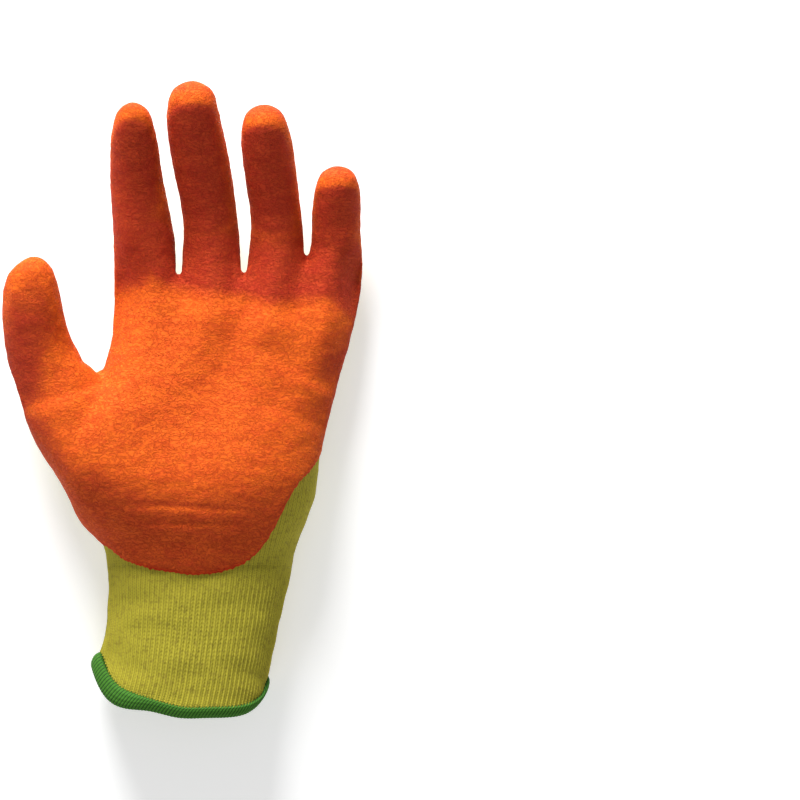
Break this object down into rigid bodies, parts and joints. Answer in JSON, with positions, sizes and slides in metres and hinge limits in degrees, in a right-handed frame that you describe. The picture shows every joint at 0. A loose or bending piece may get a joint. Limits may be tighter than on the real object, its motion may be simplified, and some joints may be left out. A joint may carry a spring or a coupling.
{
  "type": "latex coated grip glove",
  "caption": "Left-hand work glove with a knitted liner, crinkled latex dipped over the palm and fingertips, and an overlocked cuff; lies palm up with an open cuff.",
  "frame": {"origin": "middle of the footprint, on the surface that the back of the glove lies on", "axes": "+Y from the cuff to the fingertips, +Z out of the palm, +X towards the little finger"},
  "size_m": [0.1398, 0.2468, 0.0478],
  "materials": {
    "knit": "matt seamless cotton and polyester knit, yellow-green",
    "latex": "crinkled satin latex, orange",
    "overlock": "matt overlock thread, green"
  },
  "bodies": {
    "root": {"knit_cuff": "knit", "knit_hand": "knit", "knit_thumb": "knit", "knit_index": "knit", "knit_middle": "knit", "knit_ring": "knit", "knit_little": "knit", "latex_coat": "latex", "cuff_overlock": "overlock"}
  },
  "joints": []
}
